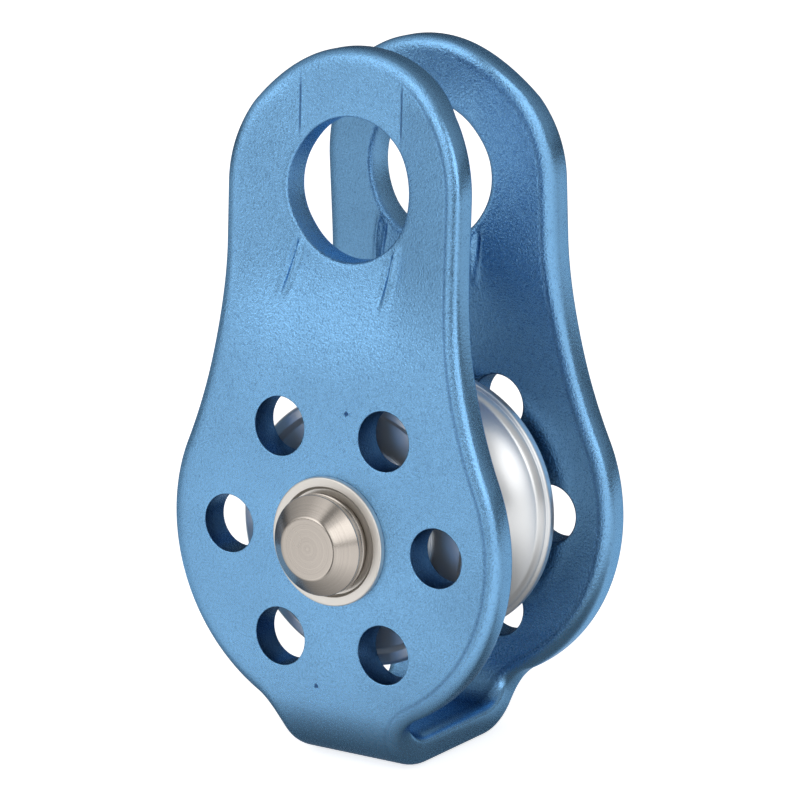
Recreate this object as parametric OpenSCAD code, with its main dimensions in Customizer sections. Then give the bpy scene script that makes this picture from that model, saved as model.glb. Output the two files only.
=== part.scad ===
// Rope pulley with fixed cheeks: a bent U-shaped frame, a riveted axle and a
// grooved sheave on one sealed ball bearing.
// Millimetres. The origin is the centre of the connector eye, midway between
// the cheeks. +Z points away from the sheave, +Y runs along the axle towards
// the closing cap, +X is to the right when the formed axle head faces you.

/* [Frame] */
// Height of the eye's centre above the axle
eye_height = 40.7; // [36:0.1:46]
// Outside width over both cheeks
frame_width = 28.7; // [26:0.1:32]
// Thickness of the bent strip
strip_t = 3.9; // [3:0.1:5]
// Radius of the round lower part of each cheek
cheek_r = 23.2; // [20:0.1:26]
// Half width of the cheek's neck, and radius of its rounded top
neck_r = 16.3; // [14:0.1:18]
// Height of the rounded top's centre above the eye's centre
neck_rise = 0; // [0:0.1:2]
// Radius of the hollow flare between neck and round lower part
flare_r = 62; // [40:1:90]
// Radius of the connector eye
eye_r = 8.4; // [7:0.1:9]
// Chamfer on the inner edge of the eye
eye_chamfer = 0.8; // [0.2:0.1:1.2]
// Half width of the strip under the sheave
web_half = 8.5; // [7:0.1:12]
// Depth of the strip's underside below the axle
web_drop = 28; // [25:0.1:30]
// Outer radius of the two bends
bend_r = 8; // [5:0.1:9]
// Radius of the fillet between the strip and the round part
web_fillet = 6; // [3:0.5:8]

/* [Lean of the cheeks] */
// Height above the axle where the cheeks start to lean inwards
lean_start = 8.5; // [8:0.1:14]
// Inward lean, in degrees
lean_angle = 3.15; // [1:0.05:4]

/* [Pressed eye area] */
// Depth the middle of the eye area is pressed inwards
press_depth = 2.4; // [1:0.1:4]
// Half width of the flat middle of the pressed area
press_half = 7; // [5:0.1:9]
// Outward slope of the flanks, per mm sideways
flank_slope = 0.22; // [0.1:0.01:0.4]
// Height above the axle where the pressing starts
press_start = 20.6; // [18:0.1:26]
// Height above the axle where the pressing reaches full depth
press_full = 34; // [28:0.1:38]

/* [Lightening holes] */
// Radius of each hole
light_r = 3.5; // [2.5:0.1:4]
// Radius of the circle the holes stand on
light_pcr = 14.7; // [13:0.1:17]
// Turn of the hole pattern from level, in degrees
light_turn = 0; // [-5:0.1:5]

/* [Sheave] */
// Radius over the flanges
sheave_r = 16.3; // [15:0.1:18]
// Width over the flanges
sheave_w = 18.4; // [16:0.1:19.5]
// Radius at the bottom of the rope groove
groove_floor_r = 11.2; // [10.8:0.1:12]
// Radius of the groove's round bottom
groove_r = 7.3; // [6:0.1:8]
// Width of the land on each flange
land_w = 1.2; // [0.8:0.1:2]

/* [Bearing] */
// Outer radius of the bearing
bearing_r = 9.5; // [9:0.1:10]
// Radius of the bearing's bore
bearing_bore_r = 4; // [3.5:0.1:5]
// Width of the bearing
bearing_w = 6; // [5:0.1:7]
// Radius of one ball
ball_r = 1.5; // [1.2:0.05:1.6]
// Number of balls
ball_count = 7; // [6:1:8]

/* [Axle] */
// Radius of the washers
washer_r = 7.7; // [7:0.1:9]
// Thickness of the washers
washer_t = 0.8; // [0.5:0.1:1.2]
// Radius of the coned head
head_r = 6; // [5:0.1:7]
// Radius of the flat on the head
head_flat_r = 3.7; // [3:0.1:4.5]
// Height of the head above the cheek
head_h = 4.6; // [3.5:0.1:6]

/* [Hidden] */
$fn = 96;
half_w = frame_width / 2;
gap_half = half_w - strip_t;
neck_z = eye_height + neck_rise;
top_z = neck_z + neck_r;
sheave_half = sheave_w / 2;
bearing_half = bearing_w / 2;
pitch_r = (bearing_r + bearing_bore_r) / 2;
race_gap = 0.1;
inner_land_r = pitch_r - 1;
outer_land_r = pitch_r + 1;
flare_x = neck_r + flare_r;
flare_z = sqrt(pow(cheek_r + flare_r, 2) - pow(flare_x, 2));
fillet_x = web_half + web_fillet;
fillet_z = sqrt(pow(cheek_r + web_fillet, 2) - pow(fillet_x, 2));
tangent_x = flare_x * cheek_r / (cheek_r + flare_r);
tangent_z = flare_z * cheek_r / (cheek_r + flare_r);
foot_x = fillet_x * cheek_r / (cheek_r + web_fillet);
foot_z = fillet_z * cheek_r / (cheek_r + web_fillet);
// fits and small details
pin_play = 0.1;
pocket_play = 0.12;
shoulder_t = 1.2;
shoulder_w = 1;
seat_h = washer_t - 0.35;
seat_gap = 0.3;
bevel = 0.2;
undercut = 0.5;
stub_r = 2.8;
stub_h = 3.3;
stub_chamfer = 0.3;
spacer_wall = 1.45;
spacer_flange_r = 7;
spacer_flange_t = 1;
ring_t = 0.9;
ring_depth = 0.45;
ring_inner_r = 8.4;
ring_gap = 3.2;
ring_groove_r = bearing_r + ring_depth;
dish_depth = 0.6;
dish_inner = 0.8;
dish_outer = 2;
rim_chamfer = 0.4;
shield_t = 0.3;
shield_inset = 0.1;
shield_recess = 0.35;
cage_half_t = 0.5;
cage_w = 4.2;
// length that carries a cut past the surface it cuts
over = 1;

// moves children from the axle's centre to the row's origin
module at_axle() {
    translate([0, 0, -eye_height]) children();
}

// turns a profile drawn as (radius, distance along the axle) about the axle
module turned() {
    at_axle() rotate([-90, 0, 0]) rotate_extrude() children();
}

// front view of the cheek, drawn as (x, height above the axle)
module cheek_outline() {
    circle(r = cheek_r);
    translate([0, neck_z]) circle(r = neck_r);
    difference() {
        polygon([[-tangent_x, tangent_z], [tangent_x, tangent_z],
                 [tangent_x, flare_z], [neck_r, flare_z], [neck_r, neck_z],
                 [-neck_r, neck_z], [-neck_r, flare_z], [-tangent_x, flare_z]]);
        translate([flare_x, flare_z]) circle(r = flare_r, $fn = 240);
        translate([-flare_x, flare_z]) circle(r = flare_r, $fn = 240);
    }
    difference() {
        polygon([[-foot_x, -foot_z], [-fillet_x, -fillet_z], [-web_half, -fillet_z],
                 [-web_half, -web_drop - over], [web_half, -web_drop - over],
                 [web_half, -fillet_z], [fillet_x, -fillet_z], [foot_x, -foot_z]]);
        translate([fillet_x, -fillet_z]) circle(r = web_fillet);
        translate([-fillet_x, -fillet_z]) circle(r = web_fillet);
    }
}

// side view of the bent strip's outside, or of the space inside it, drawn as
// (distance along the axle, height) for half width w and a bend of radius r
module strip_side(w, r, drop) {
    rise = top_z + over - lean_start;
    lean_in = rise * tan(lean_angle);
    polygon([[-w, r - drop], [w, r - drop], [w, lean_start], [w - lean_in, lean_start + rise],
             [lean_in - w, lean_start + rise], [-w, lean_start]]);
    translate([r - w, -drop]) square([2 * w - 2 * r, r + over]);
    for (s = [-1, 1]) translate([s * (w - r), r - drop]) circle(r = r);
}

module strip_profile() {
    difference() {
        strip_side(half_w, bend_r, web_drop);
        strip_side(gap_half, bend_r - strip_t, web_drop - strip_t);
    }
}

// wedge that presses the eye area inwards; its face lies press_depth inside
// the cheek, slopes out towards the flanks and runs out below the eye
module press_wedge() {
    run_out = press_depth / flank_slope;
    rise = (press_full - press_start) / press_depth;
    top = top_z + 2 * over;
    intersection() {
        translate([0, 0, press_start - 4]) linear_extrude(height = top - press_start + 4)
            polygon([[-press_half - run_out - 1 / flank_slope, -1], [-press_half, press_depth],
                     [press_half, press_depth], [press_half + run_out + 1 / flank_slope, -1]]);
        translate([-40, 0, 0]) rotate([90, 0, 90]) linear_extrude(height = 80)
            polygon([[-1, press_start - rise], [press_depth, press_full],
                     [press_depth + 1, press_full], [press_depth + 1, top], [-1, top]]);
    }
}

// takes children from an upright cheek's face, at distance y, to the leaning face
module on_leaning_face(y) {
    translate([0, y, lean_start]) rotate([-lean_angle, 0, 0]) translate([0, 0, -lean_start])
        children();
}

module cheek_frame() {
    chamfer_y = press_depth + strip_t - eye_chamfer;
    chamfer_rise = eye_height - lean_start + chamfer_y * sin(lean_angle);
    chamfer_z = lean_start + chamfer_rise / cos(lean_angle);
    color([0.30, 0.52, 0.74]) at_axle() difference() {
        intersection() {
            rotate([90, 0, 0]) linear_extrude(height = frame_width + 2, center = true)
                cheek_outline();
            union() {
                translate([-30, 0, 0]) rotate([90, 0, 90]) linear_extrude(height = 60)
                    strip_profile();
                for (side = [0, 180]) rotate([0, 0, side])
                    on_leaning_face(-half_w + strip_t) press_wedge();
            }
        }
        for (side = [0, 180]) rotate([0, 0, side]) {
            on_leaning_face(-half_w) press_wedge();
            on_leaning_face(-half_w) translate([0, chamfer_y, chamfer_z])
                rotate([-90, 0, 0]) cylinder(r1 = eye_r, r2 = eye_r + over, h = over);
        }
        translate([0, 0, eye_height]) rotate([90, 0, 0])
            cylinder(r = eye_r, h = frame_width + 4, center = true);
        rotate([90, 0, 0]) cylinder(r = bearing_bore_r + pin_play, h = frame_width + 4, center = true);
        for (i = [0:5]) rotate([0, -light_turn - i * 60, 0]) translate([light_pcr, 0, 0])
            rotate([90, 0, 0]) cylinder(r = light_r, h = frame_width + 4, center = true, $fn = 64);
    }
}

// outline of the coned head, as (radius, height above the cheek): a seat on the
// washer, a lip with a fine groove, a cone and a flat
head_points = [[head_r - undercut, seat_h], [head_r - undercut, washer_t + bevel],
               [head_r, washer_t + undercut], [head_r, washer_t + 1],
               [head_r - bevel, washer_t + 1.1], [head_r - bevel, washer_t + 1.3],
               [head_r, washer_t + 1.4], [head_r, washer_t + 1.9],
               [head_r - bevel, washer_t + 2.1], [head_flat_r + bevel, head_h - bevel],
               [head_flat_r - bevel / 2, head_h]];

// axle pin with its front head in one piece, and a stub for the closing cap
module axle() {
    color([0.72, 0.70, 0.67]) turned()
        polygon(concat([[0, half_w + stub_h], [stub_r - stub_chamfer, half_w + stub_h],
                        [stub_r, half_w + stub_h - stub_chamfer],
                        [stub_r, half_w + seat_h], [bearing_bore_r, half_w + seat_h],
                        [bearing_bore_r, -half_w - seat_h]],
                       [for (p = head_points) [p[0], -half_w - p[1]]], [[0, -half_w - head_h]]));
}

// head pressed on the stub to close the pulley
module end_cap() {
    color([0.72, 0.70, 0.67]) turned()
        polygon(concat([[stub_r, half_w + seat_h]],
                       [for (p = head_points) [p[0], half_w + p[1]]],
                       [[0, half_w + head_h], [0, half_w + stub_h + bevel],
                        [stub_r, half_w + stub_h + bevel]]));
}

// washer with a shallow step round the head
module washer(side) {
    color([0.76, 0.73, 0.69]) turned() translate([0, side * half_w]) mirror([0, side < 0 ? 1 : 0])
        polygon([[bearing_bore_r, 0], [washer_r, 0], [washer_r, washer_t - bevel],
                 [washer_r - bevel, washer_t], [head_r + seat_gap + bevel, washer_t],
                 [head_r + seat_gap, seat_h], [bearing_bore_r, seat_h]]);
}

// flanged sleeve that holds the bearing's inner ring off the cheek
module spacer(side) {
    tube_r = bearing_bore_r + spacer_wall;
    color([0.62, 0.62, 0.63]) turned() mirror([0, side < 0 ? 1 : 0])
        polygon([[bearing_bore_r, bearing_half], [tube_r, bearing_half],
                 [tube_r, gap_half - spacer_flange_t], [spacer_flange_r, gap_half - spacer_flange_t],
                 [spacer_flange_r, gap_half], [bearing_bore_r, gap_half]]);
}

// grooved wheel: rim lands, a round groove, dished sides and a stepped bore
// with a shoulder behind the bearing and a ring groove in front of it
module sheave() {
    mouth = sheave_half - land_w;
    color([0.80, 0.81, 0.82]) turned() difference() {
        translate([0, -sheave_half]) square([sheave_r, sheave_w]);
        translate([groove_floor_r + groove_r, 0]) circle(r = groove_r);
        polygon([[sheave_r - 1.2, -mouth + 0.9], [sheave_r - 0.5, -mouth + 0.4],
                 [sheave_r + 1, -mouth - 0.2], [sheave_r + 1, mouth + 0.2],
                 [sheave_r - 0.5, mouth - 0.4], [sheave_r - 1.2, mouth - 0.9]]);
        for (s = [-1, 1]) scale([1, s]) {
            polygon([[sheave_r - rim_chamfer, sheave_half], [sheave_r - rim_chamfer, sheave_half + over],
                     [sheave_r + over, sheave_half + over], [sheave_r + over, sheave_half - rim_chamfer],
                     [sheave_r, sheave_half - rim_chamfer]]);
            polygon([[bearing_r + dish_inner, sheave_half + over],
                     [bearing_r + dish_inner, sheave_half - dish_depth],
                     [sheave_r - dish_outer, sheave_half - dish_depth],
                     [sheave_r - dish_outer + dish_depth, sheave_half + over]]);
        }
        translate([-over, -sheave_half - over])
            square([bearing_r + over, sheave_half + over + bearing_half]);
        translate([-over, -bearing_half - ring_t]) square([ring_groove_r + over, ring_t]);
        translate([-over, 0]) square([bearing_r - shoulder_w + over, sheave_half + over]);
        translate([-over, bearing_half + shoulder_t]) square([bearing_r + over, sheave_half]);
    }
}

// internal spring ring, open at the bottom, seated in the sheave's bore
module retaining_ring() {
    color([0.45, 0.45, 0.47]) at_axle() difference() {
        rotate([-90, 0, 0]) translate([0, 0, -bearing_half - ring_t])
            cylinder(r = ring_groove_r, h = ring_t);
        rotate([-90, 0, 0]) translate([0, 0, -bearing_half - ring_t - over])
            cylinder(r = ring_inner_r, h = ring_t + 2 * over);
        translate([-ring_gap / 2, -bearing_half - ring_t - over, -ring_groove_r - over])
            cube([ring_gap, ring_t + 2 * over, ring_groove_r + over]);
    }
}

module bearing_outer_ring() {
    color([0.66, 0.67, 0.69]) turned() difference() {
        translate([outer_land_r, -bearing_half]) square([bearing_r - outer_land_r, bearing_w]);
        translate([pitch_r, 0]) circle(r = ball_r + race_gap, $fn = 64);
        for (s = [-1, 1]) scale([1, s]) {
            translate([outer_land_r - over, bearing_half - shield_t - 1.5 * shield_inset])
                square([over + shield_recess, over]);
            polygon([[bearing_r - stub_chamfer, bearing_half],
                     [bearing_r - stub_chamfer, bearing_half + over],
                     [bearing_r + over, bearing_half + over],
                     [bearing_r + over, bearing_half - stub_chamfer],
                     [bearing_r, bearing_half - stub_chamfer]]);
        }
    }
}

module bearing_inner_ring() {
    color([0.66, 0.67, 0.69]) turned() difference() {
        translate([bearing_bore_r, -bearing_half])
            square([inner_land_r - bearing_bore_r, bearing_w]);
        translate([pitch_r, 0]) circle(r = ball_r + race_gap, $fn = 64);
    }
}

// one-piece cage: a ring with a round pocket for each ball
module bearing_cage() {
    color([0.30, 0.28, 0.24]) at_axle() difference() {
        rotate([90, 0, 0]) difference() {
            cylinder(r = pitch_r + cage_half_t, h = cage_w, center = true);
            cylinder(r = pitch_r - cage_half_t, h = cage_w + over, center = true);
        }
        for (i = [1:ball_count]) rotate([0, -i * 360 / ball_count, 0])
            translate([pitch_r, 0, 0]) rotate([0, 90, 0])
                cylinder(r = ball_r + pocket_play, h = 2 * ball_r, center = true, $fn = 64);
    }
}

// thin ring snapped into the recess of the outer ring
module shield(side) {
    color([0.60, 0.61, 0.63]) turned() mirror([0, side < 0 ? 1 : 0])
        translate([inner_land_r + 0.15, bearing_half - shield_t - shield_inset])
            square([outer_land_r + shield_recess - inner_land_r - 0.15, shield_t]);
}

module ball(i) {
    color([0.78, 0.79, 0.80]) at_axle() rotate([0, -i * 360 / ball_count, 0])
        translate([pitch_r, 0, 0]) sphere(r = ball_r, $fn = 64);
}

cheek_frame();
axle();
end_cap();
washer(-1);  // washer_front
washer(1);  // washer_rear
spacer(-1);  // spacer_front
spacer(1);  // spacer_rear
sheave();
retaining_ring();
bearing_outer_ring();
bearing_inner_ring();
bearing_cage();
shield(-1);  // shield_front
shield(1);  // shield_rear
ball(1);  // ball_1
ball(2);  // ball_2
ball(3);  // ball_3
ball(4);  // ball_4
ball(5);  // ball_5
ball(6);  // ball_6
ball(7);  // ball_7
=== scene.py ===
import math
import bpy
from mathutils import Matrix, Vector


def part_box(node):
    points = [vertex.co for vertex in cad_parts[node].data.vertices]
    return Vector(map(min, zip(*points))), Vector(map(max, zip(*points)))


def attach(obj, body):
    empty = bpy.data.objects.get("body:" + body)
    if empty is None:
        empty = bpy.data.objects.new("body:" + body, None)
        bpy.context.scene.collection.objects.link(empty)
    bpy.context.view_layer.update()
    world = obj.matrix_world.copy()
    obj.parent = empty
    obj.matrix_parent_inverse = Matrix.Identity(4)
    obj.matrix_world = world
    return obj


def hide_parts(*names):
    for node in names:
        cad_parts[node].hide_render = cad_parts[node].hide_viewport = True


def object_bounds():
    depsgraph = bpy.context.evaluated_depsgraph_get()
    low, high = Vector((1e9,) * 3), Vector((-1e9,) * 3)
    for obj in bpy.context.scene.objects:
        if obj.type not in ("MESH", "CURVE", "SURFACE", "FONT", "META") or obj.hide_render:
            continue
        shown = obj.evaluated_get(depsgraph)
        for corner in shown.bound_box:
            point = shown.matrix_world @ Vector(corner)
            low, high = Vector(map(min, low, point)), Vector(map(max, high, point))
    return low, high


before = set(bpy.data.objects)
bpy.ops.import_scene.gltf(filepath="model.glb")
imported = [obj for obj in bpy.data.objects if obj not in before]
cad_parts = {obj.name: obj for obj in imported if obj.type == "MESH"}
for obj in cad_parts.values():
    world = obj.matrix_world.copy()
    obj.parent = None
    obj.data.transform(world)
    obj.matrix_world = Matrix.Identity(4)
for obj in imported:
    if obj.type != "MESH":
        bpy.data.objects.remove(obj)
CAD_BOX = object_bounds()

from types import SimpleNamespace

import bmesh
import bpy
import numpy as np
from bpy.props import FloatProperty, FloatVectorProperty, IntProperty, PointerProperty
from mathutils import Matrix, Vector
from mathutils.geometry import delaunay_2d_cdt

bl_info = {
    "name": "Rope Pulley Builder",
    "version": (1, 0, 0),
    "blender": (4, 5, 0),
    "location": "View3D > Sidebar > Pulley",
    "description": "Builds the finished surfaces of a fixed-cheek rope pulley on its packed frame",
    "category": "Add Mesh",
}

MM = 0.001
FLOOR_GAP = 0.0002  # metres between the lowest metal and the floor

# dark touches in the cheek's colour: the line where the rim starts (mm from the outline), a painted dark
# reflection;
# the faint crease beside the eye, painted shade; and the specks of dirt (metres from the eye's centre)
RIM_REFLECTION_LINE = 1.75
CREASE_SIDE, CREASE_MIDDLE = 0.00705, 0.0093
CREASE_REACH = (0.0022, 0.0040)
OUTER_FACE = (0.0080, 0.0085)
SPECKS = (((0.00213, -0.0140, -0.02536), 0.00032), ((-0.00218, -0.01435, -0.05873), 0.00026))


def node_span(node, axis):
    """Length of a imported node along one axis, in millimetres."""
    low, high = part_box(node)
    return (high[axis] - low[axis]) / MM


def node_middle(node, axis):
    """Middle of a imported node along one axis, in millimetres."""
    low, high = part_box(node)
    return (high[axis] + low[axis]) / 2 / MM


AXLE_Z = round(node_middle("bearing_outer_ring", 2), 3)
FRAME_WIDTH = round(node_span("cheek_frame", 1), 3)
CHEEK_R = round(node_span("cheek_frame", 0) / 2, 3)
NECK_RISE = 0.0
NECK_R = round(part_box("cheek_frame")[1][2] / MM - NECK_RISE, 3)
WEB_DROP = round(AXLE_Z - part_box("cheek_frame")[0][2] / MM, 3)
SHEAVE_R = round(node_span("sheave", 0) / 2, 3)
SHEAVE_W = round(node_span("sheave", 1), 3)
WASHER_R = round(node_span("washer_front", 0) / 2, 3)
WASHER_T = round(node_span("washer_front", 1), 3)
HEAD_R = round(node_span("axle", 0) / 2, 3)
HEAD_H = round(-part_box("axle")[0][1] / MM - FRAME_WIDTH / 2, 3)


def size(name, description, default, low, high):
    """A length, given here in millimetres and kept in metres, as a property of a settings group."""
    return FloatProperty(name=name, description=description, default=default * MM, min=low * MM,
                         max=high * MM, precision=5, unit="LENGTH")


def angle(name, description, degrees, low=-360, high=360):
    """An angle, given here in degrees and kept in radians, as a property of a settings group."""
    return FloatProperty(name=name, description=description, default=math.radians(degrees),
                         min=math.radians(low), max=math.radians(high), subtype="ANGLE")


def tint(name, description, default):
    """A linear colour, as a property of a settings group."""
    return FloatVectorProperty(name=name, description=description, default=default, size=3,
                               subtype="COLOR", min=0, max=1)


def in_millimetres(settings):
    """The values of a settings group by name, with each length turned into millimetres."""
    values = {}
    for key in type(settings).__annotations__:
        value = getattr(settings, key)
        is_length = settings.bl_rna.properties[key].unit == "LENGTH"
        values[key] = round(value / MM, 4) if is_length else value
    return SimpleNamespace(**values)


class CheekSettings(bpy.types.PropertyGroup):
    """Sizes of the bent cheek frame."""
    width: size("Width", "Outside width over both cheeks", FRAME_WIDTH, 20, 40)
    thickness: size("Thickness", "Thickness of the bent strip", 3.9, 2, 6)
    cheek_r: size("Cheek radius", "Radius of the round lower part", CHEEK_R, 15, 30)
    neck_r: size("Neck radius", "Half width of the neck and radius of its top", NECK_R, 12, 20)
    flare_r: size("Flare radius", "Radius of the hollow flare beside the neck", 62, 40, 90)
    eye_r: size("Eye radius", "Radius of the connector eye", 8.4, 6, 10)
    web_half: size("Web half width", "Half width of the strip under the sheave", 8.5, 6, 14)
    web_drop: size("Web drop", "Depth of the strip's underside below the axle", WEB_DROP, 22, 32)
    web_fillet: size("Web fillet", "Radius between the strip and the round part", 6, 2, 9)
    bend_r: size("Bend radius", "Outer radius of the two bends", 8, 5, 10)
    edge_w: size("Rim width", "Width of the rounding along the outline", 1.9, 0.3, 2.5)
    edge_d: size("Rim depth", "Depth of the rounding along the outline", 1.15, 0.3, 1.8)
    neck_rise: size("Neck rise", "Height of the round top's centre above the eye's", NECK_RISE, 0, 2)
    lean_start: size("Lean start", "Height above the axle where the cheeks start to lean", 8.5, 8, 14)
    lean: angle("Lean", "Inward lean of the cheeks", 3.15, 0, 5)
    light_r: size("Hole radius", "Radius of each lightening hole", 3.5, 2, 5)
    light_pcr: size("Hole circle", "Radius of the circle the holes stand on", 14.7, 12, 18)
    light_turn: angle("Hole turn", "Turn of the hole pattern", 0)
    press_depth: size("Press depth", "Depth the middle of the eye area is pressed inwards", 2.4, 0, 6)
    press_half: size("Press half width", "Half width of the flat pressed middle", 7, 4, 10)
    press_start: size("Press start", "Height above the axle where pressing starts", 17.5, 12, 26)
    press_full: size("Press full", "Height above the axle where pressing is complete", 34, 28, 40)
    flank_slope: FloatProperty(name="Flank slope", description="Outward slope of the flanks", default=0.22,
                               min=0, max=0.5, subtype="FACTOR")
    ridge_h: size("Ridge height", "Height of the two short ridges below the eye", 0.5, 0, 1)
    ridge_groove: size("Ridge groove", "Depth of the groove beside each ridge", 0.42, 0, 1)
    grid: size("Grid", "Spacing of the surface grid", 0.6, 0.3, 2)


class TurnedSettings(bpy.types.PropertyGroup):
    """Sizes of the turned pieces."""
    segments: IntProperty(name="Segments", description="Steps round a turned piece", default=160,
                          min=32, max=256)
    washer_r: size("Washer radius", "Outer radius of the washers", WASHER_R, 6, 10)
    washer_t: size("Washer thickness", "Thickness of the washers", WASHER_T, 0.4, 1.5)
    head_r: size("Head radius", "Radius of the coned head", HEAD_R, 4, 8)
    head_h: size("Head height", "Height of the head above the cheek", HEAD_H, 3, 6)
    head_flat_r: size("Head flat", "Radius of the flat on the head", 3.7, 2, 5)
    pin_r: size("Pin radius", "Radius of the axle pin", 4, 3, 5)
    sheave_r: size("Sheave radius", "Radius over the flanges", SHEAVE_R, 12, 20)
    sheave_w: size("Sheave width", "Width over the flanges", SHEAVE_W, 14, 20)
    groove_floor: size("Groove floor", "Radius at the bottom of the rope groove", 11.2, 10, 14)
    groove_r: size("Groove radius", "Radius of the groove's round bottom", 7.3, 5, 9)
    land_w: size("Land width", "Width of the land on each flange", 1.2, 0.6, 2)


class FinishSettings(bpy.types.PropertyGroup):
    """Colours of the finishes."""
    anodised: tint("Anodised blue", "Dyed layer on the blasted aluminium", (0.185, 0.40, 0.66))
    stainless: tint("Stainless", "Turned stainless steel", (0.44, 0.40, 0.36))
    washer: tint("Washer", "Matte stamped stainless steel", (0.88, 0.64, 0.50))
    aluminium: tint("Turned aluminium", "Bare turned aluminium", (0.80, 0.81, 0.83))


class StudioSettings(bpy.types.PropertyGroup):
    """Camera and light of the stage."""
    azimuth: angle("Azimuth", "Camera azimuth, from the front towards the right", 34.117)
    elevation: angle("Elevation", "Camera elevation", 12.716)
    roll: angle("Roll", "Camera roll", -0.166)
    distance: FloatProperty(name="Distance", description="Camera to aim", default=0.43842, unit="LENGTH")
    aim: FloatVectorProperty(name="Aim", description="Point on the camera's axis", size=3,
                             default=(0.00012, 0.00007, -0.02661), subtype="XYZ", unit="LENGTH")
    lens: FloatProperty(name="Lens", description="Focal length on a 36 mm sensor", default=166.16,
                        unit="CAMERA")
    dome: FloatProperty(name="Dome", description="Strength of the studio dome", default=1.0, min=0, max=5)


class PulleySettings(bpy.types.PropertyGroup):
    """All settings of the pulley."""
    cheek: PointerProperty(type=CheekSettings)
    turned: PointerProperty(type=TurnedSettings)
    finish: PointerProperty(type=FinishSettings)
    studio: PointerProperty(type=StudioSettings)


# ---------------------------------------------------------------- mesh helpers

def put_mesh(name, verts, faces, values=None):
    """Puts vertex rows in millimetres and face index rows into a new, smooth-shaded mesh object, with
    named values for each vertex where they are given."""
    mesh = bpy.data.meshes.new(name)
    mesh.from_pydata((np.asarray(verts) * MM).tolist(), [], [list(f) for f in faces])
    for label, numbers in (values or {}).items():
        layer = mesh.attributes.new(label, "FLOAT", "POINT")
        layer.data.foreach_set("value", np.asarray(numbers, np.float32))
    mesh.validate()
    work = bmesh.new()
    work.from_mesh(mesh)
    bmesh.ops.remove_doubles(work, verts=work.verts, dist=1e-7)
    bmesh.ops.recalc_face_normals(work, faces=work.faces)
    work.to_mesh(mesh)
    work.free()
    mesh.shade_smooth()
    piece = bpy.data.objects.new(name, mesh)
    bpy.context.scene.collection.objects.link(piece)
    return piece


def arc_points(cx, cy, r, start, end, step=0.05):
    """Points of a circle arc about (cx, cy) from angle start to end, in radians, at most step apart."""
    n = max(3, int(abs(end - start) * r / step) + 1)
    a = np.linspace(start, end, n)
    return np.stack([cx + r * np.cos(a), cy + r * np.sin(a)], 1)


def even_steps(path, step):
    """The same path with points at even arc length, about step apart."""
    gone = np.concatenate([[0], np.cumsum(np.hypot(*np.diff(path, axis=0).T))])
    n = max(2, int(round(gone[-1] / step)) + 1)
    at = np.linspace(0, gone[-1], n)
    return np.stack([np.interp(at, gone, path[:, 0]), np.interp(at, gone, path[:, 1])], 1)


def rounded_profile(corners, closed):
    """Profile of (radius, distance) points from corners (r, y, fillet): each corner with a fillet becomes
    an arc tangent to both its sides, with one support point just before and after it."""
    pts = np.array([c[:2] for c in corners], float)
    out = []
    count = len(corners)
    for i, (_, _, fillet) in enumerate(corners):
        here = pts[i]
        if fillet <= 0 or (not closed and i in (0, count - 1)):
            out.append(here[None])
            continue
        before = pts[i - 1] - here
        after = pts[(i + 1) % count] - here
        len_b, len_a = np.linalg.norm(before), np.linalg.norm(after)
        before, after = before / len_b, after / len_a
        half = math.acos(np.clip(before @ after, -1, 1)) / 2
        reach = min(fillet / math.tan(half), 0.48 * len_b, 0.48 * len_a)
        radius = reach * math.tan(half)
        middle = here + (before + after) / np.linalg.norm(before + after) * radius / math.sin(half)
        start, end = here + before * reach - middle, here + after * reach - middle
        sweep = math.pi - 2 * half
        turn = math.copysign(1, start[0] * end[1] - start[1] * end[0])
        a = math.atan2(start[1], start[0]) + turn * np.linspace(0, sweep, max(4, int(sweep / 0.25) + 2))
        arc = middle + radius * np.stack([np.cos(a), np.sin(a)], 1)
        hold = min(0.06, reach * 0.5)
        out += [arc[:1] + before * hold, arc, arc[-1:] + after * hold]
    return np.concatenate(out)


def turned(name, profile, closed=True, axle_z=AXLE_Z):
    """Surface of revolution about the axle: a point at radius r and distance y turns to
    (r sin a, y, axle_z + r cos a) for a running once round. A closed profile makes a ring,
    and an open one starts and ends on the axis."""
    segments = bpy.context.scene.pulley.turned.segments
    a = np.linspace(0, 2 * np.pi, segments, endpoint=False)
    r, y = profile[:, 0], profile[:, 1]
    grid = np.stack([r[:, None] * np.sin(a), np.repeat(y[:, None], segments, 1),
                     axle_z + r[:, None] * np.cos(a)], 2)
    rows = len(profile)
    i = np.arange(rows if closed else rows - 1)[:, None]
    j = np.arange(segments)[None]
    i2, j2 = (i + 1) % rows, (j + 1) % segments
    quads = np.stack([i * segments + j, i * segments + j2, i2 * segments + j2, i2 * segments + j], 2)
    return put_mesh(name, grid.reshape(-1, 3), quads.reshape(-1, 4))


def finish_piece(piece, body, nodes, material):
    """Gives a piece its material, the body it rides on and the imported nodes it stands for."""
    piece.data.materials.clear()
    piece.data.materials.append(material)
    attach(piece, body)
    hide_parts(*nodes)


# ---------------------------------------------------------------- node helpers

def new_group(name, inputs, outputs):
    """An empty shader node group with named sockets, given as (name, kind, default)."""
    group = bpy.data.node_groups.new(name, "ShaderNodeTree")
    for label, kind, default in inputs:
        socket = group.interface.new_socket(name=label, in_out="INPUT", socket_type=kind)
        if default is not None:
            socket.default_value = default
    for label, kind in outputs:
        group.interface.new_socket(name=label, in_out="OUTPUT", socket_type=kind)
    enter = group.nodes.new("NodeGroupInput")
    leave = group.nodes.new("NodeGroupOutput")
    return group, enter, leave


def add(tree, kind, **values):
    """A node of that kind, with attributes and input defaults set by name."""
    node = tree.nodes.new(kind)
    for key, value in values.items():
        if hasattr(node, key):
            setattr(node, key, value)
        else:
            node.inputs[key.replace("_", " ")].default_value = value
    return node


def wire(tree, source, target):
    """Links two sockets."""
    tree.links.new(source, target)


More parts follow.
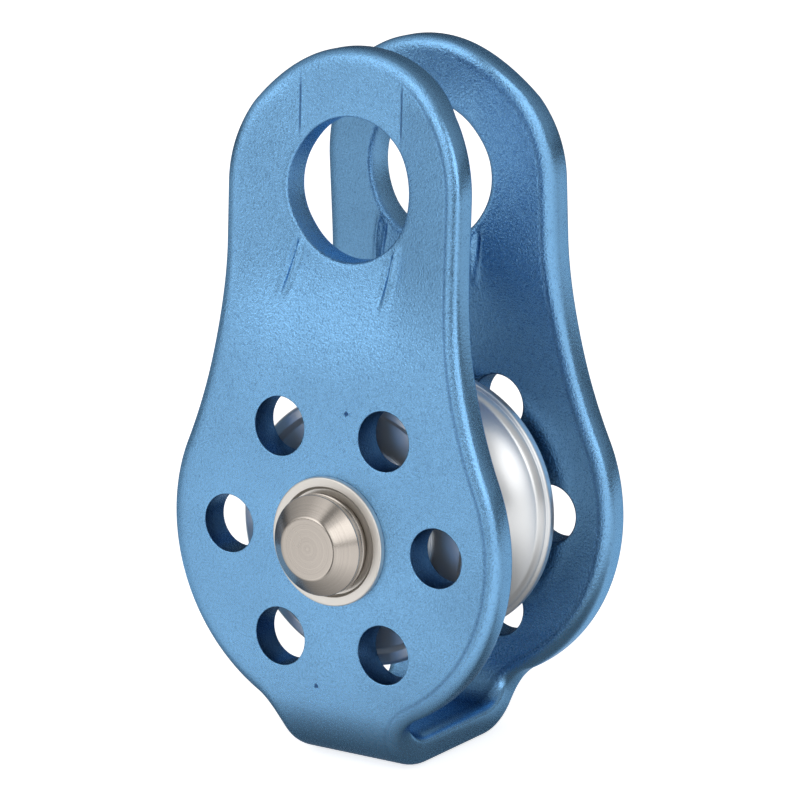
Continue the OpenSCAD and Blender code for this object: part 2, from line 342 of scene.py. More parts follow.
def maths(tree, operation, a, b=None, clamp=False):
    """A Math node; a and b are sockets or numbers. Returns its output."""
    node = tree.nodes.new("ShaderNodeMath")
    node.operation = operation
    node.use_clamp = clamp
    for k, value in enumerate((a, b)):
        if value is None:
            continue
        if isinstance(value, (int, float)):
            node.inputs[k].default_value = value
        else:
            wire(tree, value, node.inputs[k])
    return node.outputs[0]


def blasted_group():
    """Bead-blasted skin: two sizes of fine noise give the pebbled height, a broad one gives
    a slow change of tone and gloss."""
    group, enter, leave = new_group("BlastedSkin",
                                    [("Vector", "NodeSocketVector", None),
                                     ("Grain", "NodeSocketFloat", 3700.0),
                                     ("Broad", "NodeSocketFloat", 90.0)],
                                    [("Height", "NodeSocketFloat"), ("Speckle", "NodeSocketFloat"),
                                     ("Cloud", "NodeSocketFloat")])
    fine = add(group, "ShaderNodeTexNoise", Detail=2.0, Roughness=0.55)
    wire(group, enter.outputs["Vector"], fine.inputs["Vector"])
    wire(group, enter.outputs["Grain"], fine.inputs["Scale"])
    finer = add(group, "ShaderNodeTexNoise", Detail=1.0, Roughness=0.5)
    wire(group, enter.outputs["Vector"], finer.inputs["Vector"])
    wire(group, maths(group, "MULTIPLY", enter.outputs["Grain"], 2.7), finer.inputs["Scale"])
    cloud = add(group, "ShaderNodeTexNoise", Detail=3.0, Roughness=0.6)
    wire(group, enter.outputs["Vector"], cloud.inputs["Vector"])
    wire(group, enter.outputs["Broad"], cloud.inputs["Scale"])
    height = maths(group, "ADD", fine.outputs["Fac"], maths(group, "MULTIPLY", finer.outputs["Fac"], 0.35))
    wire(group, height, leave.inputs["Height"])
    wire(group, finer.outputs["Fac"], leave.inputs["Speckle"])
    wire(group, cloud.outputs["Fac"], leave.inputs["Cloud"])
    return group


def lathe_group():
    """Turning lines: noise that depends only on the distance from the axle's axis and the place along
    it, so that it runs round the piece, mixed with a little noise that doesn't."""
    group, enter, leave = new_group("TurningLines",
                                    [("Vector", "NodeSocketVector", None),
                                     ("Axis Height", "NodeSocketFloat", AXLE_Z * MM),
                                     ("Lines", "NodeSocketFloat", 6000.0),
                                     ("Spots", "NodeSocketFloat", 900.0)],
                                    [("Height", "NodeSocketFloat"), ("Lines", "NodeSocketFloat"),
                                     ("Cloud", "NodeSocketFloat")])
    parts = add(group, "ShaderNodeSeparateXYZ")
    wire(group, enter.outputs["Vector"], parts.inputs[0])
    up = maths(group, "SUBTRACT", parts.outputs["Z"], enter.outputs["Axis Height"])
    across = parts.outputs["X"]
    radius = maths(group, "SQRT", maths(group, "ADD", maths(group, "MULTIPLY", across, across),
                                        maths(group, "MULTIPLY", up, up)))
    ring = add(group, "ShaderNodeCombineXYZ")
    wire(group, radius, ring.inputs["X"])
    wire(group, parts.outputs["Y"], ring.inputs["Y"])
    lines = add(group, "ShaderNodeTexNoise", Detail=3.0, Roughness=0.6)
    wire(group, ring.outputs[0], lines.inputs["Vector"])
    wire(group, enter.outputs["Lines"], lines.inputs["Scale"])
    spots = add(group, "ShaderNodeTexNoise", Detail=2.0, Roughness=0.5)
    wire(group, enter.outputs["Vector"], spots.inputs["Vector"])
    wire(group, enter.outputs["Spots"], spots.inputs["Scale"])
    cloud = add(group, "ShaderNodeTexNoise", Detail=2.0, Roughness=0.5, Scale=160.0)
    wire(group, enter.outputs["Vector"], cloud.inputs["Vector"])
    height = maths(group, "ADD", lines.outputs["Fac"], maths(group, "MULTIPLY", spots.outputs["Fac"], 0.3))
    wire(group, height, leave.inputs["Height"])
    wire(group, lines.outputs["Fac"], leave.inputs["Lines"])
    wire(group, cloud.outputs["Fac"], leave.inputs["Cloud"])
    return group


def shader(name, base, metallic, roughness):
    """A material with one Principled shader. Returns (material, tree, shader, Object coordinates)."""
    material = bpy.data.materials.new(name)
    material.use_nodes = True
    material.diffuse_color = (*base, 1)
    tree = material.node_tree
    tree.nodes.clear()
    end = tree.nodes.new("ShaderNodeOutputMaterial")
    body = tree.nodes.new("ShaderNodeBsdfPrincipled")
    body.inputs["Base Color"].default_value = (*base, 1)
    body.inputs["Metallic"].default_value = metallic
    body.inputs["Roughness"].default_value = roughness
    wire(tree, body.outputs[0], end.inputs[0])
    place = tree.nodes.new("ShaderNodeTexCoord")
    return material, tree, body, place.outputs["Object"]


def use_group(tree, group, vector, **values):
    """A placed node group, fed with the vector and with its own values."""
    node = tree.nodes.new("ShaderNodeGroup")
    node.node_tree = group
    wire(tree, vector, node.inputs["Vector"])
    for key, value in values.items():
        node.inputs[key.replace("_", " ")].default_value = value
    return node


def shade_between(tree, factor, low, high):
    """A colour that runs from low to high with the factor."""
    mix = tree.nodes.new("ShaderNodeMix")
    mix.data_type = "RGBA"
    mix.inputs[6].default_value = (*low, 1)
    mix.inputs[7].default_value = (*high, 1)
    wire(tree, factor, mix.inputs[0])
    return mix.outputs[2]


def spread(tree, value, low, high, from_low=0.3, from_high=0.7):
    """The value, spread from one range to another."""
    node = tree.nodes.new("ShaderNodeMapRange")
    node.inputs["From Min"].default_value = from_low
    node.inputs["From Max"].default_value = from_high
    node.inputs["To Min"].default_value = low
    node.inputs["To Max"].default_value = high
    wire(tree, value, node.inputs["Value"])
    return node.outputs["Result"]


def bumped(tree, body, height, strength, distance):
    """Feeds the shader's normal from a height, in metres of relief."""
    bump = tree.nodes.new("ShaderNodeBump")
    bump.inputs["Strength"].default_value = strength
    bump.inputs["Distance"].default_value = distance
    wire(tree, height, bump.inputs["Height"])
    wire(tree, bump.outputs[0], body.inputs["Normal"])


def scaled(colour, k):
    """A colour made lighter or darker by a factor."""
    return tuple(min(1.0, max(0.0, c * k)) for c in colour)


def attribute(tree, name):
    """A named value of the mesh."""
    node = tree.nodes.new("ShaderNodeAttribute")
    node.attribute_name = name
    return node.outputs["Fac"]


def specks_group():
    """Small dark specks of dirt: 1 within a given radius of a place, 0 outside, ragged by noise."""
    group, enter, leave = new_group("DirtSpeck",
                                    [("Vector", "NodeSocketVector", None),
                                     ("Place", "NodeSocketVector", None),
                                     ("Radius", "NodeSocketFloat", 0.0003)],
                                    [("Mask", "NodeSocketFloat")])
    ragged = add(group, "ShaderNodeTexNoise", Scale=3500.0, Detail=1.0)
    wire(group, enter.outputs["Vector"], ragged.inputs["Vector"])
    away = add(group, "ShaderNodeVectorMath", operation="DISTANCE")
    wire(group, enter.outputs["Vector"], away.inputs[0])
    wire(group, enter.outputs["Place"], away.inputs[1])
    twice = maths(group, "MULTIPLY", ragged.outputs["Fac"], 2.0)
    reach = maths(group, "MULTIPLY", enter.outputs["Radius"], twice)
    wire(group, maths(group, "LESS_THAN", away.outputs["Value"], reach), leave.inputs["Mask"])
    return group


def crease_shade_mask(tree, parts):
    """Mask of the painted shade along the two faint upright crease lines above the eye, on the outer faces
    only.
    """
    side = maths(tree, "SUBTRACT", maths(tree, "ABSOLUTE", parts.outputs["X"]), CREASE_SIDE)
    crease = spread(tree, maths(tree, "ABSOLUTE", side), 1, 0, 0.00004, 0.00022)
    away = maths(tree, "ABSOLUTE", maths(tree, "SUBTRACT", parts.outputs["Z"], CREASE_MIDDLE))
    crease = maths(tree, "MULTIPLY", crease, spread(tree, away, 1, 0, *CREASE_REACH), clamp=True)
    outside = spread(tree, maths(tree, "ABSOLUTE", parts.outputs["Y"]), 0, 1, *OUTER_FACE)
    return maths(tree, "MULTIPLY", crease, outside)


def anodised_blue(groups, colour):
    """Satin anodised aluminium over a bead-blasted skin, with a painted dark reflection as a broken line
    where the right-hand rim starts, a smoother rim, painted shade on the walls of the axle hole and
    lightening holes, in the low points of the grain and along the faint creases, and a few specks of dirt."""
    material, tree, body, vector = shader("anodised_blue", colour, 1.0, 0.36)
    skin = use_group(tree, groups["blasted"], vector)
    parts = tree.nodes.new("ShaderNodeSeparateXYZ")
    wire(tree, vector, parts.inputs[0])
    gap = attribute(tree, "edge_gap")
    # painted dark reflection: a broken dark line along the rim, on the right-hand side only, darkens the
    # colour; it also dips the bump a little
    off_line = maths(tree, "ABSOLUTE", maths(tree, "SUBTRACT", gap, RIM_REFLECTION_LINE))
    broken = spread(tree, skin.outputs["Speckle"], 0.35, 1, 0.40, 0.58)
    line = maths(tree, "MULTIPLY", spread(tree, off_line, 1, 0, 0.06, 0.34), broken, clamp=True)
    line = maths(tree, "MULTIPLY", line, spread(tree, parts.outputs["X"], 0, 1, 0.003, 0.012))
    # painted shade: the low points of the blasted grain get a darker colour
    pit_shade = spread(tree, skin.outputs["Height"], 1, 0, 0.50, 0.60)
    # everything that darkens the colour: painted dark reflection on the rim, painted shade on the hole walls,
    # in the grain and along the creases, and the specks of dirt
    shade_and_dirt_marks = [maths(tree, "MULTIPLY", line, 0.6), maths(tree, "MULTIPLY", attribute(tree, "hole_wall_shade"), 0.78),
             maths(tree, "MULTIPLY", pit_shade, 0.30), maths(tree, "MULTIPLY", crease_shade_mask(tree, parts), 0.8)]
    for place, radius in SPECKS:
        speck = use_group(tree, groups["specks"], vector, Place=place, Radius=radius)
        shade_and_dirt_marks.append(maths(tree, "MULTIPLY", speck.outputs["Mask"], 0.9))
    dark = shade_and_dirt_marks[0]
    for mark in shade_and_dirt_marks[1:]:
        dark = maths(tree, "MAXIMUM", dark, mark)
    tone = shade_between(tree, spread(tree, skin.outputs["Cloud"], 0, 1), scaled(colour, 0.94),
                         scaled(colour, 1.06))
    # the dark navy that the painted shade, the painted reflection and the dirt mix towards
    mix = tree.nodes.new("ShaderNodeMix")
    mix.data_type = "RGBA"
    mix.inputs[7].default_value = (colour[0] * 0.05, colour[1] * 0.12, colour[2] * 0.24, 1)
    wire(tree, tone, mix.inputs[6])
    wire(tree, dark, mix.inputs[0])
    wire(tree, mix.outputs[2], body.inputs["Base Color"])
    wire(tree, spread(tree, skin.outputs["Speckle"], 0.19, 0.31), body.inputs["Roughness"])
    calm = spread(tree, gap, 0.35, 1.0, 0.5, 1.2)
    height = maths(tree, "SUBTRACT", maths(tree, "MULTIPLY", skin.outputs["Height"], calm),
                   maths(tree, "MULTIPLY", line, 0.4))
    bumped(tree, body, height, 1.0, 0.000085)
    body.inputs["Specular Tint"].default_value = (0.60, 0.78, 0.95, 1)
    return material


def turned_metal(name, groups, colour, roughness, lines=6000.0, strength=0.25, relief=0.00002):
    """Turned metal with fine lines round the axle's axis and a slow change of gloss."""
    material, tree, body, vector = shader(name, colour, 1.0, roughness)
    cut = use_group(tree, groups["lathe"], vector, Lines=lines)
    tone = shade_between(tree, spread(tree, cut.outputs["Lines"], 0, 1), scaled(colour, 0.93),
                         scaled(colour, 1.05))
    gloss = spread(tree, cut.outputs["Cloud"], roughness * 0.85, roughness * 1.2)
    wire(tree, tone, body.inputs["Base Color"])
    wire(tree, gloss, body.inputs["Roughness"])
    bumped(tree, body, cut.outputs["Height"], strength, relief)
    return material


def sheave_metal(name, groups, colour):
    """Polished turned aluminium whose flange sides are made rougher and carry painted shade, a nearly black
    colour.
    """
    material, tree, body, vector = shader(name, colour, 1.0, 0.18)
    cut = use_group(tree, groups["lathe"], vector, Lines=5000.0)
    parts = tree.nodes.new("ShaderNodeSeparateXYZ")
    wire(tree, vector, parts.inputs[0])
    away = maths(tree, "ABSOLUTE", parts.outputs["Y"])
    side = spread(tree, away, 0, 1, (SHEAVE_W / 2 - 0.12) * MM, (SHEAVE_W / 2 - 0.02) * MM)
    up = maths(tree, "SUBTRACT", parts.outputs["Z"], AXLE_Z * MM)
    across = parts.outputs["X"]
    out = maths(tree, "SQRT", maths(tree, "ADD", maths(tree, "MULTIPLY", across, across),
                                    maths(tree, "MULTIPLY", up, up)))
    inner = spread(tree, out, 1, 0, (SHEAVE_R - 1.4) * MM, (SHEAVE_R - 0.9) * MM)
    dished = spread(tree, away, 0, 1, (SHEAVE_W / 2 - 0.75) * MM, (SHEAVE_W / 2 - 0.65) * MM)
    # painted shade: the flange side faces, between sheave and cheeks, get a nearly black colour; they are
    # also made rougher
    shade_and_dull = maths(tree, "MULTIPLY", maths(tree, "MAXIMUM", side, dished), inner, clamp=True)
    tone = shade_between(tree, spread(tree, cut.outputs["Lines"], 0, 1), scaled(colour, 0.92),
                         scaled(colour, 1.05))
    mix = tree.nodes.new("ShaderNodeMix")
    mix.data_type = "RGBA"
    mix.inputs[7].default_value = (*scaled(colour, 0.05), 1)
    wire(tree, tone, mix.inputs[6])
    wire(tree, shade_and_dull, mix.inputs[0])
    wire(tree, mix.outputs[2], body.inputs["Base Color"])
    gloss = spread(tree, cut.outputs["Cloud"], 0.12, 0.24)
    wire(tree, maths(tree, "MAXIMUM", gloss, maths(tree, "MULTIPLY", shade_and_dull, 0.42)), body.inputs["Roughness"])
    bumped(tree, body, cut.outputs["Height"], 0.3, 0.00002)
    return material


def matte_metal(name, groups, colour, roughness, metallic=1.0, grain=5200.0, strength=0.3):
    """Stamped or tumbled metal, or moulded plastic where metallic is 0, with a fine even grain."""
    material, tree, body, vector = shader(name, colour, metallic, roughness)
    skin = use_group(tree, groups["blasted"], vector, Grain=grain)
    tone = shade_between(tree, spread(tree, skin.outputs["Cloud"], 0, 1), scaled(colour, 0.92),
                         scaled(colour, 1.06))
    gloss = spread(tree, skin.outputs["Speckle"], roughness * 0.85, roughness * 1.15)
    wire(tree, tone, body.inputs["Base Color"])
    wire(tree, gloss, body.inputs["Roughness"])
    bumped(tree, body, skin.outputs["Height"], strength, 0.00004)
    return material


def all_materials():
    """Every finish of the pulley, by name."""
    made = bpy.data.materials.get("anodised_blue")
    if made is None:
        finish = bpy.context.scene.pulley.finish
        groups = {"blasted": blasted_group(), "lathe": lathe_group(), "specks": specks_group()}
        anodised_blue(groups, tuple(finish.anodised))
        turned_metal("stainless_head", groups, tuple(finish.stainless), 0.24, lines=7000.0)
        matte_metal("stainless_washer", groups, tuple(finish.washer), 0.42)
        sheave_metal("turned_aluminium", groups, tuple(finish.aluminium))
        turned_metal("spacer_alloy", groups, (0.62, 0.62, 0.63), 0.32)
        turned_metal("bearing_steel", groups, (0.70, 0.71, 0.73), 0.16, strength=0.1)
        matte_metal("shield_steel", groups, (0.58, 0.59, 0.61), 0.36)
        matte_metal("spring_steel", groups, (0.16, 0.15, 0.14), 0.42)
        matte_metal("cage_plastic", groups, (0.10, 0.08, 0.06), 0.55, metallic=0.0)
    return bpy.data.materials


# ---------------------------------------------------------------- cheek frame

class StripForm:
    """The bent and pressed strip. A place on it is (x, c, d): x across, c along the outer surface from
    the middle of the web (positive up the rear cheek), and d the depth below the outer surface."""

    def __init__(self, s):
        self.s = s
        self.half = s.width / 2
        self.flat = self.half - s.bend_r
        self.bend_len = s.bend_r * math.pi / 2
        self.bend_z = -s.web_drop + s.bend_r
        self.eye_z = -AXLE_Z
        self.neck_z = self.eye_z + s.neck_rise
        self.top_c = self.along(self.neck_z + s.neck_r)

    def along(self, z):
        """Place c along the strip of a height z above the axle: straight on the cheek, an angle times
        the bend radius round the bend."""
        z = np.asarray(z, float)
        drop = np.clip((z + self.s.web_drop) / self.s.bend_r, 0, 1)
        return np.where(z >= self.bend_z, self.flat + self.bend_len + z - self.bend_z,
                        self.flat + self.s.bend_r * np.arccos(1 - drop))

    def height(self, c):
        """Height above the axle of a place c on a cheek's straight part."""
        return self.bend_z + np.abs(c) - self.flat - self.bend_len

    def press(self, x, z):
        """Depth the cheek is pressed inwards: a smooth ramp in z times a flat middle with flanks that
        slope out, less two short ridges below the eye, each with a groove beside it, that fade downwards."""
        s = self.s
        ramp = np.clip((z - s.press_start) / (s.press_full - s.press_start), 0, 1)
        ramp = ramp * ramp * (3 - 2 * ramp)
        far = np.abs(x) - s.press_half
        top = self.neck_z + s.neck_r
        soft = 0.25 + 1.6 * np.clip((z - top + 6) / 4, 0, 1) + 1.2 * np.clip((s.press_full - 4 - z) / 6, 0, 1)
        out = (far + np.sqrt(far * far + soft * soft)) / 2
        fade = 1 - np.clip((z - top + 7) / 6, 0, 1)
        depth = ramp * (s.press_depth - s.flank_slope * out * fade)
        down = self.eye_z - 4.6 - z
        line = np.where(x < 0, -6.2 - 0.26 * down, 6.9 - 0.17 * down)
        clear = np.clip((np.hypot(x, z - self.eye_z) - s.eye_r - 0.45) / 1.1, 0, 1)
        swell = clear * np.clip(down / 0.8, 0, 1) * np.clip((9.2 - down) / 5, 0, 1)
        side = x - line
        ridge = swell * (s.ridge_h * np.exp(-((side - 0.2) / 0.42) ** 2)
                         - s.ridge_groove * np.exp(-((side + 0.5) / 0.36) ** 2))
        return depth - ridge

    def lean(self, z):
        """Inward lean of the cheeks: none up to a height, then a straight slope, joined by a soft bend."""
        rise = z - self.s.lean_start
        return math.tan(self.s.lean) * (rise + np.sqrt(rise * rise + 4)) / 2

    def place(self, x, c, d):
        """Positions of strip places: the web lies flat, each bend is a quarter turn of radius bend_r
        less the depth, and each cheek stands straight, moved inwards by the press."""
        s = self.s
        side = np.sign(c)
        run = np.abs(c)
        phi = np.clip((run - self.flat) / s.bend_r, 0, math.pi / 2)
        up = np.clip(run - self.flat - self.bend_len, 0, None)
        reach = np.minimum(run, self.flat) + (s.bend_r - d) * np.sin(phi)
        z = self.bend_z - (s.bend_r - d) * np.cos(phi) + up
        y = side * (reach - np.where(up > 0, self.press(x, z) + self.lean(z), 0))
        return np.stack([x, y, z + AXLE_Z], -1)


def cheek_outline(form):
    """Half outline of the strip, as (x, c): the round top, the neck, the hollow flare, the round lower
    part, the fillet and the web's edge, each an arc or a straight line tangent to the next."""
    s = form.s
    flare_x = s.neck_r + s.flare_r
    flare_z = math.sqrt((s.cheek_r + s.flare_r) ** 2 - flare_x ** 2)
    fillet_x = s.web_half + s.web_fillet
    fillet_z = math.sqrt((s.cheek_r + s.web_fillet) ** 2 - fillet_x ** 2)
    flare_a = math.atan2(flare_z, flare_x)
    foot_a = math.atan2(fillet_z, fillet_x)
    drop = np.linspace(fillet_z, s.web_drop, 60)[1:]
    path = np.concatenate([
        arc_points(0, form.neck_z, s.neck_r, math.pi / 2, 0),
        arc_points(flare_x, flare_z, s.flare_r, math.pi, math.pi + flare_a),
        arc_points(0, 0, s.cheek_r, flare_a, -foot_a),
        arc_points(fillet_x, -fillet_z, s.web_fillet, math.pi - foot_a, math.pi),
        np.stack([np.full(len(drop), s.web_half), -drop], 1)])
    places = np.stack([path[:, 0], form.along(path[:, 1])], 1)
    return np.concatenate([places, [[s.web_half, 0]]])


def closed_outline(form, step):
    """The whole outline as a closed loop of (x, c), even in arc length, and its outward directions."""
    half = even_steps(cheek_outline(form), step)
    right = np.concatenate([half, (half * [1, -1])[::-1][1:]])
    loop = np.concatenate([right, (right * [-1, 1])[::-1][1:-1]])
    ahead = np.roll(loop, -1, 0) - np.roll(loop, 1, 0)
    out = np.stack([-ahead[:, 1], ahead[:, 0]], 1) / np.linalg.norm(ahead, axis=1)[:, None]
    if (out[len(half) // 2] * loop[len(half) // 2])[0] < 0:
        out = -out
    return loop, out


def round_hole(x, c, r, count):
    """A hole's loop of (x, c) about its centre, and the directions that point out of the material."""
    a = np.linspace(0, 2 * np.pi, count, endpoint=False)
    ray = np.stack([np.cos(a), np.sin(a)], 1)
    return np.array([x, c]) + r * ray, -ray


def edge_section(outer, inner, inset, thickness, steps):
    """Section of an edge, as (distance inside the edge, depth): flat to a quarter ellipse (width, depth)
    at the outer face, straight down the wall, a quarter ellipse at the inner face and back."""
    a = np.linspace(0, math.pi / 2, steps)
    front = np.stack([outer[0] * (1 - np.sin(a)), outer[1] * (1 - np.cos(a))], 1)
    rear = np.stack([inner[0] * (1 - np.cos(a)), thickness - inner[1] * (1 - np.sin(a))], 1)
    rows = [[[inset, 0]]] if inset > outer[0] + 1e-6 else []
    rows += [front, [[0, thickness / 2]], rear]
    if inset > inner[0] + 1e-6:
        rows += [[[inset, thickness]]]
    return np.concatenate(rows)


def gap_to(places, rim):
    """Distance of each place to the nearest of a loop's places."""
    parts = np.array_split(places, 80)
    return np.concatenate([np.hypot(p[:, None, 0] - rim[:, 0], p[:, None, 1] - rim[:, 1]).min(1)
                           for p in parts])


def build_cheek_frame(s):
    """Mesh of the bent strip. The outer and inner faces are one triangulated net of (x, c) places inside
    the rounded rims, taken at depth 0 and at full depth; each rim is an edge section carried along its
    loop. All places go through the strip's form."""
    form = StripForm(s)
    rim_size = (s.edge_w, s.edge_d)
    rim_edge = edge_section(rim_size, rim_size, s.edge_w, s.thickness, 9)
    edges = [(*closed_outline(form, 0.4), rim_edge, s.edge_w)]
    holes = []
    # each hole: x, c, radius, points, outer and inner rounding, and 1 where its wall gets painted shade
    for side in (-1, 1):
        holes.append((0, side * form.along(form.eye_z), s.eye_r, 110, 0.35, 0.8, 0))
        holes.append((0, side * form.along(0), 4.1, 60, 0.2, 0.2, 1))
        for k in range(6):
            a = s.light_turn + math.radians(60 * k)
            holes.append((s.light_pcr * math.cos(a), side * form.along(s.light_pcr * math.sin(a)),
                          s.light_r, 56, 0.15, 0.3, 1))
    for x, c, r, count, outer_r, inner_r, _ in holes:
        inset = max(outer_r, inner_r) + 0.05
        hole_edge = edge_section((outer_r, outer_r), (inner_r, inner_r), inset, s.thickness, 4)
        edges.append((*round_hole(x, c, r, count), hole_edge, inset))

    rings = [loop - out * inset for loop, out, _, inset in edges]
    xs = np.arange(-s.cheek_r, s.cheek_r, s.grid)
    cs = np.arange(-form.top_c, form.top_c, s.grid * 0.87)
    gx, gc = np.meshgrid(xs, cs)
    gx = gx + (np.arange(len(cs)) % 2)[:, None] * s.grid / 2
    net = np.stack([gx.ravel(), gc.ravel()], 1)
    fine_c = np.arange(form.along(s.press_start + 7), form.along(s.press_full + 3), 0.3)
    fx, fc = np.meshgrid(np.arange(-10, 10, 0.24), fine_c)
    fine = np.stack([fx.ravel(), fc.ravel()], 1)
    fine = fine[np.abs(fine[:, 0]) > 4.6]
    off_x, off_c = np.abs(net[:, 0]), np.abs(net[:, 1])
    tight = (off_x < 10.2) & (off_x > 4.4) & (off_c > fc.min() - 0.2) & (off_c < fc.max() + 0.2)
    net = np.concatenate([net[~tight], fine, fine * [1, -1]])
    half = cheek_outline(form)[::-1]
    keep = np.abs(net[:, 0]) < np.interp(np.abs(net[:, 1]), half[:, 1], half[:, 0])
    for x, c, r, _, outer_r, inner_r, _ in holes:
        keep &= np.hypot(net[:, 0] - x, net[:, 1] - c) > r + max(outer_r, inner_r) + 0.05 + s.grid * 0.4
    net = net[keep]
    rim = edges[0][0]
    net = net[gap_to(net, rim) > s.edge_w + s.grid * 0.4]

    points = np.concatenate(rings + [net])
    starts = np.cumsum([0] + [len(r) for r in rings])
    lines = np.concatenate([np.stack([np.arange(len(r)) + a, (np.arange(len(r)) + 1) % len(r) + a], 1)
                            for a, r in zip(starts, rings)])
    _, _, tris, first, _, _ = delaunay_2d_cdt([Vector(p) for p in points.tolist()],
                                              [tuple(e) for e in lines.tolist()], [], 0, 1e-7)
    source = np.array([f[0] for f in first])
    tris = source[np.array(tris)]
    centre = points[tris].mean(1)
    ring_half = rings[0][rings[0][:, 0] >= 0]
    order = np.argsort(ring_half[:, 1])
    reach = np.interp(centre[:, 1], ring_half[order, 1], ring_half[order, 0], left=0, right=0)
    inside = np.abs(centre[:, 0]) < reach
    for x, c, r, _, outer_r, inner_r, _ in holes:
        inside &= np.hypot(centre[:, 0] - x, centre[:, 1] - c) > r + max(outer_r, inner_r) + 0.048
    tris = tris[inside]

    count = len(points)
    gaps = gap_to(points, rim)
    edge_values = [gaps, gaps]
    wall_shade_values = [np.zeros(2 * count)]
    verts = [form.place(points[:, 0], points[:, 1], depth) for depth in (0.0, s.thickness)]
    faces = [tris, tris[:, ::-1] + count]
    base = 2 * count
    quads = []
    # walls that get painted shade: those of the axle hole and the lightening holes, not the outline's or the
    # eye's
    shaded_walls = [0] + [hole[-1] for hole in holes]
    for (loop, out, section, _), start, hole_wall_shade in zip(edges, starts, shaded_walls):
        n, rows = len(loop), len(section)
        gap = (np.repeat(section[1:-1, :1], n, 1) if start == 0
               else np.repeat(gap_to(loop, rim)[None], rows - 2, 0))
        edge_values.append(gap.ravel())
        wall_shade_values.append(np.repeat((section[1:-1, 0] < 0.05) * hole_wall_shade, n).astype(float))
        at = loop[None] - out[None] * section[:, 0][:, None, None]
        made = form.place(at[..., 0], at[..., 1], np.repeat(section[:, 1][:, None], n, 1))
        verts.append(made[1:-1].reshape(-1, 3))
        middle = base + np.arange((rows - 2) * n).reshape(rows - 2, n)
        index = np.concatenate([[start + np.arange(n)], middle, [count + start + np.arange(n)]])
        after = np.roll(index, -1, 1)
        quads.append(np.stack([index[:-1], after[:-1], after[1:], index[1:]], 2).reshape(-1, 4))
        base += (rows - 2) * n
    values = {"edge_gap": np.concatenate(edge_values), "hole_wall_shade": np.concatenate(wall_shade_values)}
    return np.concatenate(verts), [*np.concatenate(faces).tolist(), *np.concatenate(quads).tolist()], values


class PULLEY_OT_cheek_frame(bpy.types.Operator):
    """Builds the bent, pressed and blasted cheek frame"""
    bl_idname = "pulley.cheek_frame"
    bl_label = "Cheek frame"

    def execute(self, context):
        verts, faces, values = build_cheek_frame(in_millimetres(context.scene.pulley.cheek))
        piece = put_mesh("cheek_frame_skin", verts, faces, values)
        finish_piece(piece, "frame", ["cheek_frame"], all_materials()["anodised_blue"])
        return {"FINISHED"}


# ---------------------------------------------------------------- turned pieces

def head_corners(s, seat):
    """Corners (radius, height above the cheek, fillet) of the coned head, from its seat to its flat."""
    t = s.washer_t
    return [(s.head_r - 0.5, seat, 0), (s.head_r - 0.5, t + 0.2, 0.05), (s.head_r, t + 0.5, 0.12),
            (s.head_r, t + 1.0, 0.05), (s.head_r - 0.2, t + 1.1, 0.05), (s.head_r - 0.2, t + 1.3, 0.05),
            (s.head_r, t + 1.4, 0.05), (s.head_r, t + 1.95, 0.14), (s.head_flat_r, s.head_h, 0.6)]


class PULLEY_OT_axle(bpy.types.Operator):
    """Builds the axle with its formed head, and the cap that closes it"""
    bl_idname = "pulley.axle"
    bl_label = "Axle and cap"

    def execute(self, context):
        s = in_millimetres(context.scene.pulley.turned)
        half = in_millimetres(context.scene.pulley.cheek).width / 2
        seat = s.washer_t - 0.35
        stub = 2.8
        stub_end, pocket_end = half + 3.3, half + 3.5
        steel = all_materials()["stainless_head"]
        pin = [(0, stub_end, 0), (stub, stub_end, 0.3), (stub, half + seat, 0.05),
               (s.pin_r, half + seat, 0.1), (s.pin_r, -half - seat, 0)]
        pin += [(r, -half - h, f) for r, h, f in head_corners(s, seat)]
        pin += [(0, -half - s.head_h, 0)]
        axle = turned("axle_pin", rounded_profile(pin, False), closed=False)
        finish_piece(axle, "frame", ["axle"], steel)
        cap = [(0, pocket_end, 0), (stub, pocket_end, 0), (stub, half + seat, 0)]
        cap += [(r, half + h, f) for r, h, f in head_corners(s, seat)]
        cap += [(0, half + s.head_h, 0)]
        cap_piece = turned("axle_cap", rounded_profile(cap, False), closed=False)
        finish_piece(cap_piece, "frame", ["end_cap"], steel)
        return {"FINISHED"}


class PULLEY_OT_washers(bpy.types.Operator):
    """Builds the two stepped washers"""
    bl_idname = "pulley.washers"
    bl_label = "Washers"

    def execute(self, context):
        s = in_millimetres(context.scene.pulley.turned)
        half = in_millimetres(context.scene.pulley.cheek).width / 2
        for name, side in (("washer_front", -1), ("washer_rear", 1)):
            corners = [(s.pin_r, 0, 0), (s.washer_r, 0, 0.08), (s.washer_r, s.washer_t, 0.22),
                       (s.head_r + 0.6, s.washer_t, 0.08), (s.head_r + 0.3, s.washer_t - 0.35, 0.06),
                       (s.pin_r, s.washer_t - 0.35, 0)]
            profile = rounded_profile([(r, side * (half + h), f) for r, h, f in corners], True)
            finish_piece(turned(name + "_ring", profile), "frame", [name],
                         all_materials()["stainless_washer"])
        return {"FINISHED"}


